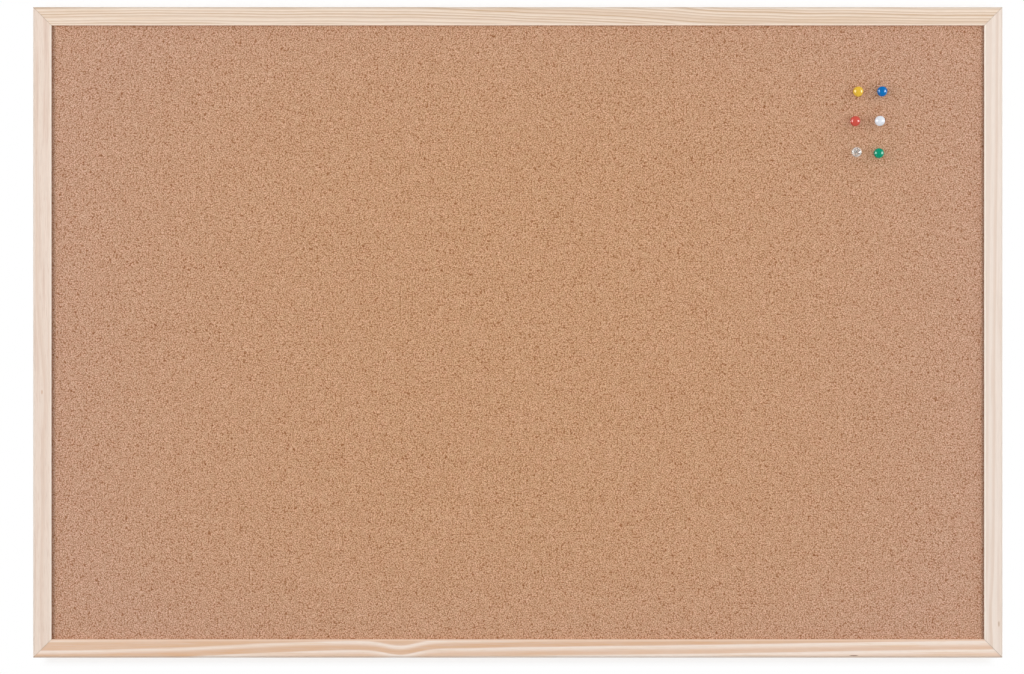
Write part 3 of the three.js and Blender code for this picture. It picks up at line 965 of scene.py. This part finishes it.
granule = flatCells("granule")
granuleTones = split(granule["Color"], "Color")
granuleRim = flatCells("granule", "DISTANCE_TO_EDGE")["Distance"]
lumpRim = flatCells("lump", "DISTANCE_TO_EDGE")["Distance"]
patterns = {
    "granules": granuleTones[0],
    "hollows": granule["Distance"],
    "joints": remap(granuleRim, *cork["jointWidth"], 1.0, 0.0),
    "lumpJoints": remap(lumpRim, *cork["lumpWidth"], 1.0, 0.0),
    "crumbs": split(flatCells("crumb")["Color"], "Color")[0],
    "dust": noiseAt(place, cork["dustRate"], 3.0, 0.6)["Fac"],
    "patches": noiseAt(place, cork["patchRate"], 3.0, 0.55)["Fac"],
    "bark": remap(granuleTones[1], *cork["barkFrom"]),
}
shade = 0.5
for name, (amount, middle) in cork["shades"].items():
    # one reach of the green is half of the shade scale
    shade = plus(shade, swing(patterns[name], amount / (2 * cork["reach"][1]), middle))
stops = []
for index in range(cork["rampSteps"] + 1):
    share = index / cork["rampSteps"]
    shift = 2 * share - 1
    seen = (max(0, value + shift * reach) for value, reach in zip(cork["base"], cork["reach"]))
    stops.append((share, tone(*seen)))
colour = ramp(shade, stops)

# soft warm patches, and towards the frame a painted sheen, bluer and greyer, with a little painted shade in
# red that evens out the lamps
base = tone(*cork["base"])
warmShare = remap(patterns["patches"], *cork["warmPatches"])
tint = mixed(warmShare, base, tone(*cork["warmTint"]))
sideSquare = calc("POWER", over(placeParts["X"], cork["halfWidth"]), 2.0)
railSquare = calc("POWER", over(placeParts["Z"], cork["halfHeight"]), 2.0)
sideSheenShare = times(sideSquare, timesPlus(sideSquare, cork["sideCurve"], 1 - cork["sideCurve"]))
railSheenShare = times(times(railSquare, railSquare), cork["railSheenShare"])
tint = mixed(plus(sideSheenShare, railSheenShare, clamp=True), tint, tone(*cork["edgeSheenTint"]))
hueNoise = noiseAt(vectorCalc("ADD", place, cork["hueShift"]), cork["hueRate"])["Fac"]
hue = mixed(remap(hueNoise, *cork["hueRange"]), cork["sallow"], cork["ruddy"])
tint = mixed(1.0, tint, hue, "MULTIPLY")
tint = mixed(1.0, tint, base, "DIVIDE")
colour = mixed(1.0, colour, tint, "MULTIPLY")

# painted shade on the cork under the lips of the stiles, where their shadow falls
for side, toward in (("Left", 1.0), ("Right", -1.0)):
    toLip = timesPlus(placeParts["X"], toward, cork["halfWidth"])
    colour = shaded(colour, remap(toLip, cork["lipFrom"], cork["lipTo"][side], 1 - cork["paintedLipShade"], 1.0))
relief = cork["relief"]
height = timesPlus(granuleTones[2], relief["granules"], times(patterns["joints"], relief["joints"]))
for name in ("hollows", "dust"):
    height = timesPlus(patterns[name], relief[name], height)
roughness = remap(shade, *cork["roughness"], smooth=False)
wear(shader, colour, roughness, bumped(height, cork["bump"], cork["bumpStrength"]))
shader.inputs["Specular IOR Level"].default_value = cork["specular"]
spread(tree)
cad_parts["cork_sheet"].material_slots[0].material = material
print("cork made")

# Softboard core and hardboard backing keep their solids

panels = {
    "core_board": {
        "name": "softboardFibre", "Color": (186, 160, 128), "Dark Color": (150, 122, 92),
        "Light Color": (212, 190, 160), "Fibre Rate": 260.0, "Contrast": 0.7, "bump": 0.0002,
        "shader": {"Specular IOR Level": 0.3},
    },
    "backing_sheet": {
        "name": "hardboardFibre", "Color": (142, 105, 74), "Dark Color": (112, 78, 52),
        "Light Color": (172, 134, 100), "Fibre Rate": 420.0, "Contrast": 0.5, "bump": 0.00005,
        "shader": {"Specular IOR Level": 0.3},
    },
}

for nodeName, sheet in panels.items():
    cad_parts[nodeName].material_slots[0].material = skinned(sheet["name"], fibreMat, sheet)
print("panel dressed")

# Steel finishes

steels = {
    "zincPlate": {
        "Color": (206, 208, 208), "Dull Color": (158, 162, 164), "Dullness": 0.8,
        "Base Roughness": 0.32, "Line Stretch": (5200.0, 5200.0, 300.0), "bump": 0.00001,
    },
    "stapleWire": {
        "Color": (196, 194, 188), "Dull Color": (140, 134, 124), "Dullness": 0.9,
        "Base Roughness": 0.3, "Line Stretch": (260.0, 6200.0, 6200.0), "bump": 0.00001,
    },
    "needleSteel": {
        "Color": (214, 216, 218), "Dull Color": (176, 178, 180), "Dullness": 0.4,
        "Base Roughness": 0.16, "Line Stretch": (6200.0, 420.0, 6200.0), "bump": 0.000004,
    },
}
steelMaterials = {name: skinned(name, platedSkin, {"shader": {"Metallic": 1.0}, **steel})
                  for name, steel in steels.items()}

for label, *place in staplePlaces:
    staple = atCorner(stapleShape("wire_staple_" + label, 0.0, -staples["sink"]), *place)
    soften(staple, staples["softEdge"], 3, 40)
    settle(staple)
    dress(staple, steelMaterials["stapleWire"], "board", "corner_staple_" + label)
print("staples made")


# Hangers: a folded strap whose rolled eye holds a wire ring, on two screws

hangers = {
    "drop": 0.075,
    "inset": 0.0074,
    "thickness": 0.0008,
    "width": 0.0084,
    "length": 0.019,
    "corner": 0.0032,
    "seam": 0.0001,
    "neckRadius": 0.0012,
    "eyeClearance": 0.0001,
    "wireRadius": 0.0009,
    "wireSides": 28,
    "eyeSteps": 40,
    "neckSteps": 8,
    "cornerSteps": 14,
    "bowSteps": 56,
    "ringCornerSteps": 12,
    "holeSides": 40,
    "ringWidth": 0.0096,
    "ringHeight": 0.0075,
    "ringCorner": 0.0015,
    "buttGap": 0.0004,
    "softEdge": 0.00014,
    "blankMargin": 0.001,  # the blank and the hole cutters reach this far past the strap
    "cutFrom": -0.002,
    "cutTo": 0.006,
}
screws = {
    "radius": 0.0014,
    "length": 0.011,
    "point": 0.0024,
    "headRadius": 0.0027,
    "headHeight": 0.0017,
    "headRim": 0.0005,
    "rimChamfer": 0.00012,
    "clearance": 0.00015,
    "headMargin": 0.001,
    "recessSpan": 0.0028,
    "recessWidth": 0.0007,
    "recessDepth": 0.001,
    "recessMouth": (0.62, 0.6),  # shares of the span and the width, above the head and at the bottom
    "recessFloor": (0.3, 0.35),
    "domeSteps": 14,
    "sides": 48,
    "turns": (0.35, 1.1, 0.5),  # radians: of them all, for each next one, and for each side
}
eyeInner = hangers["wireRadius"] + hangers["eyeClearance"]
eyeOuter = eyeInner + hangers["thickness"]
strapTop = 2 * hangers["thickness"] + hangers["seam"]
neckHeight = strapTop - hangers["thickness"] / 2 + hangers["neckRadius"]
neckReach = eyeInner + hangers["thickness"] / 2 + hangers["neckRadius"]
neckX = -math.sqrt(neckReach ** 2 - (neckHeight - eyeOuter) ** 2)
screwMargin = screws["headRadius"] + screws["headMargin"]
screwPlaces = (screwMargin - neckX, hangers["length"] - screwMargin)


def strapShape(name):
    # drawn along X with the eye at 0 and its back at Y = 0, then turned to hang along Z
    h = hangers
    meet = math.degrees(math.atan2(neckHeight - eyeOuter, neckX))
    innerNeck = h["neckRadius"] + h["thickness"] / 2
    outerNeck = h["neckRadius"] - h["thickness"] / 2
    outline = [(-h["length"], 0.0)]
    outline += arc(0, eyeOuter, eyeOuter, -90, meet, h["eyeSteps"])
    outline += arc(neckX, neckHeight, outerNeck, meet - 180, -90, h["neckSteps"])
    outline += [(-h["length"], strapTop), (-h["length"], strapTop - h["thickness"])]
    outline += arc(neckX, neckHeight, innerNeck, -90, meet - 180, h["neckSteps"])
    outline += arc(0, eyeOuter, eyeInner, meet, -90, h["eyeSteps"])
    outline += [(-h["length"], h["thickness"])]
    strap = extrude(name, outline, h["width"])

    # the blank rounds the lower corners
    end = -h["length"] + h["corner"]
    half = h["width"] / 2
    past = half + h["blankMargin"]
    side = half - h["corner"]
    plan = [(h["cutTo"], -past), (h["cutTo"], past), (end, past), (end, half)]
    plan += arc(end, side, h["corner"], 90, 180, h["cornerSteps"])[1:]
    plan += arc(end, -side, h["corner"], 180, 270, h["cornerSteps"])
    plan += [(end, -past)]
    blank = slab("strapBlank", plan, h["cutFrom"], h["cutTo"])
    boolean(strap, blank, "INTERSECT")
    holes = []
    bore = screws["radius"] + screws["clearance"]
    low, high = h["cutFrom"], h["cutTo"]
    for offset in screwPlaces:
        hole = lathe("strapHole", [(0, low), (bore, low), (bore, high), (0, high)], h["holeSides"])
        hole.location = (-offset, 0, 0)
        boolean(strap, hole, "DIFFERENCE")
        holes.append(hole)
    soften(strap, h["softEdge"], 2, 45)
    settle(strap, [blank, *holes])
    strap.data.transform(Matrix.Rotation(-math.pi / 2, 4, "Y"))
    return strap


def ringShape(name):
    # a round wire swept along its bent line, which lies in the XZ plane
    h = hangers
    half = h["ringWidth"] / 2 + h["wireRadius"]
    corner = h["ringCorner"]
    bow = h["ringHeight"] + 2 * h["wireRadius"] - half
    line = [(h["buttGap"] / 2, 0.0)]
    line += arc(half - corner, corner, corner, -90, 0, h["ringCornerSteps"])
    line += arc(0, bow, half, 0, 180, h["bowSteps"])
    line += arc(corner - half, corner, corner, 180, 270, h["ringCornerSteps"])
    line += [(-h["buttGap"] / 2, 0.0)]
    line = [point for index, point in enumerate(line)
            if index == 0 or (Vector(point) - Vector(line[index - 1])).length > 1e-7]
    sections = []
    for index, (x, z) in enumerate(line):
        before = Vector(line[max(index - 1, 0)])
        after = Vector(line[min(index + 1, len(line) - 1)])
        along = (after - before).normalized()
        section = []
        for step in range(h["wireSides"]):
            angle = 2 * math.pi * step / h["wireSides"]
            outward = h["wireRadius"] * math.cos(angle)
            section.append((x + along.y * outward, h["wireRadius"] * math.sin(angle), z - along.x * outward))
        sections.append(section)
    return settle(loft(name, sections), sharpAngle=50)


def screwShape(name):
    s = screws
    chamfer = s["rimChamfer"]
    wide, high = s["headRadius"], s["headHeight"]
    outline = [(0, -s["length"]), (s["radius"], s["point"] - s["length"]), (s["radius"], 0)]
    outline += [(wide - chamfer, 0), (wide, chamfer), (wide, s["headRim"])]
    curveOn(outline, (wide, high), (0, high), s["domeSteps"])
    screw = lathe(name, outline, s["sides"])
    arms = []
    for turn in (0, 1):
        # each arm of the cross narrows towards its bottom
        sections = []
        for side, (spanShare, widthShare) in ((1, s["recessMouth"]), (-1, s["recessFloor"])):
            y = high + side * s["recessDepth"]
            reach, breadth = s["recessSpan"] * spanShare, s["recessWidth"] * widthShare
            flat = [(-reach, -breadth), (reach, -breadth), (reach, breadth), (-reach, breadth)]
            sections.append([(x, y, z) if turn == 0 else (-z, y, x) for x, z in flat])
        arm = loft("recessArm", sections)
        boolean(screw, arm, "DIFFERENCE")
        arms.append(arm)
    return settle(screw, arms, sharpAngle=35)


for side, sideName in ((-1, "left"), (1, "right")):
    hingeX = side * (moulding["boardWidth"] / 2 - hangers["inset"])
    hingeZ = moulding["boardHeight"] / 2 - hangers["drop"]
    strap = strapShape("strap_" + sideName)
    strap.location = (hingeX, 0, hingeZ)
    dress(strap, steelMaterials["zincPlate"], "board", "hanger_strap_" + sideName)
    ring = ringShape("ring_" + sideName)
    ring.location = (hingeX, eyeOuter, hingeZ)
    dress(ring, steelMaterials["zincPlate"], "ring_" + sideName, "hanger_ring_" + sideName)
    for index, offset in enumerate(screwPlaces):
        label = "screw_" + sideName + "_" + str(index + 1)
        screw = screwShape("pan_" + label)
        screw.location = (hingeX, strapTop, hingeZ - offset)
        turn, turnNext, turnSide = screws["turns"]
        screw.rotation_euler = (0, turn + turnNext * index + turnSide * side, 0)
        dress(screw, steelMaterials["zincPlate"], "board", "hanger_" + label)
print("hangers made")


# Push pins: moulded heads on steel needles

pins = {
    "height": 0.0125,
    "topRadius": 0.0043,
    "topThickness": 0.0027,
    "topDome": 0.00075,
    "topEdge": 0.001,
    "neckRadius": 0.0028,
    "neckDrop": 0.0011,
    "waistRadius": 0.00225,
    "footRadius": 0.0031,
    "footRise": 0.0013,
    "flangeRadius": 0.00465,
    "flangeThickness": 0.0012,
    "flangeRound": 0.0005,
    "flangeChamfer": 0.00012,
    "needleRadius": 0.00055,
    "needleExposed": 0.008,
    "needleSeated": 0.007,
    "needlePoint": 0.0022,
    "pointBulge": (0.8, 0.45),  # shares of the radius and of the point's length
    "segments": 72,
    "needleSegments": 32,
    "steps": {"dome": 12, "edge": 8, "under": 5, "neck": 7, "waist": 14, "foot": 8, "flange": 6, "point": 10},
}


def pinHead(name):
    p = pins
    top, edge, flange, thin = p["topRadius"], p["topEdge"], p["flangeRadius"], p["flangeThickness"]
    domeRadius = top - edge
    shoulder = p["topDome"] - p["height"]
    rim = shoulder + 2 * p["topDome"] * edge / domeRadius
    topUnder = p["topThickness"] - p["height"]
    neck = topUnder + p["neckDrop"]
    foot = -thin - p["footRise"]
    path = [(0, -p["height"])]
    steps = p["steps"]
    curveOn(path, (domeRadius / 2, -p["height"]), (domeRadius, shoulder), steps["dome"])
    curveOn(path, (top, rim), (top, rim + edge / 2), steps["edge"])
    path += [(top, topUnder - edge / 2)]
    curveOn(path, (top, topUnder), (top - edge / 2, topUnder), steps["under"])
    curveOn(path, (p["neckRadius"], topUnder), (p["neckRadius"], neck), steps["neck"])
    waist = (2 * p["waistRadius"] - p["footRadius"], (neck + foot) / 2)
    curveOn(path, waist, (p["footRadius"], foot), steps["waist"])
    curveOn(path, (p["footRadius"], -thin), (flange - p["flangeRound"], -thin), steps["foot"])
    curveOn(path, (flange, -thin), (flange, p["flangeRound"] - thin), steps["flange"])
    path += [(flange, -p["flangeChamfer"]), (flange - p["flangeChamfer"], 0), (0, 0)]
    return settle(lathe(name, path, p["segments"]), sharpAngle=40)


def pinNeedle(name):
    p = pins
    radius, point, tip = p["needleRadius"], p["needlePoint"], p["needleExposed"]
    bulge = (radius * p["pointBulge"][0], tip - point + point * p["pointBulge"][1])
    path = [(0, -p["needleSeated"]), (radius, -p["needleSeated"]), (radius, tip - point)]
    curveOn(path, bulge, (0, tip), p["steps"]["point"])
    return settle(lathe(name, path, p["needleSegments"]), sharpAngle=40)


sharedPlastic = {"Scratch": 0.6, "Cloud": 0.1, "bump": 0.000006, "shader": {"IOR": 1.52}}
plastics = {
    "yellow": {"Color": (238, 192, 60)},
    "blue": {"Color": (0, 114, 189)},
    "red": {"Color": (216, 86, 72)},
    "white": {"Color": (234, 237, 244), "Cloud": 0.05},
    "clear": {"Color": (246, 248, 247), "Cloud": 0.02, "letThrough": (0.82, 0.83, 0.83, 1),
              "shader": {"IOR": 1.52, "Transmission Weight": 0.8}},
    "green": {"Color": (0, 153, 116)},
}

for colourName, plastic in plastics.items():
    material = skinned("pinPlastic" + colourName.capitalize(), mouldedSkin, {**sharedPlastic, **plastic})
    if "letThrough" in plastic:
        # light passes through it on its way to the cork
        tree = material.node_tree
        bright = tree.nodes.new("ShaderNodeBsdfTransparent")
        bright.inputs["Color"].default_value = plastic["letThrough"]
        isShadow = tree.nodes.new("ShaderNodeLightPath").outputs["Is Shadow Ray"]
        surface = shaderBlend(isShadow, tree.nodes["Principled BSDF"].outputs[0], bright.outputs[0])
        feed(tree.nodes["Material Output"].inputs["Surface"], surface)
        spread(tree)
    low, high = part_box("pin_head_" + colourName)
    spot = ((low.x + high.x) / 2, high.y, (low.z + high.z) / 2)
    head = pinHead("pinHead_" + colourName)
    head.location = spot
    body = "pin_" + colourName
    dress(head, material, body, "pin_head_" + colourName)
    needle = pinNeedle("pinNeedle_" + colourName)
    needle.location = spot
    dress(needle, steelMaterials["needleSteel"], body, "pin_needle_" + colourName)
print("pins made")

print("scene done")
